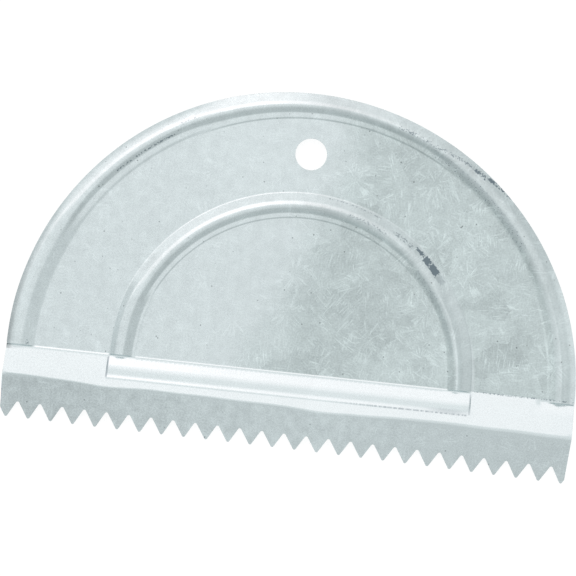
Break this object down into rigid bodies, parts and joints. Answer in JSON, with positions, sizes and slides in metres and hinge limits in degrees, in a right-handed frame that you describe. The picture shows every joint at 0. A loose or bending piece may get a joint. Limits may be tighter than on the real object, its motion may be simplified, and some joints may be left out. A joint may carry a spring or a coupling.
{
  "type": "adhesive spreader",
  "caption": "Half-round adhesive spreader pressed from one galvanised steel sheet, with a raised rim, a D-shaped stiffening rib, a bent toothed edge and a hanging hole.",
  "frame": {"origin": "under the middle of the tool's outline, on the surface that it lies on, back down", "axes": "+X along the row of teeth, +Y from the teeth to the round edge, +Z out of the front, which the ribs and the ridge above the toothed strip stand towards"},
  "size_m": [0.18, 0.1124, 0.0061],
  "materials": {
    "galvanised_steel": "satin zinc with feathery spangle, brighter where the sheet was pressed and bent"
  },
  "bodies": {
    "root": {"spreader_sheet": "galvanised_steel"}
  },
  "joints": []
}
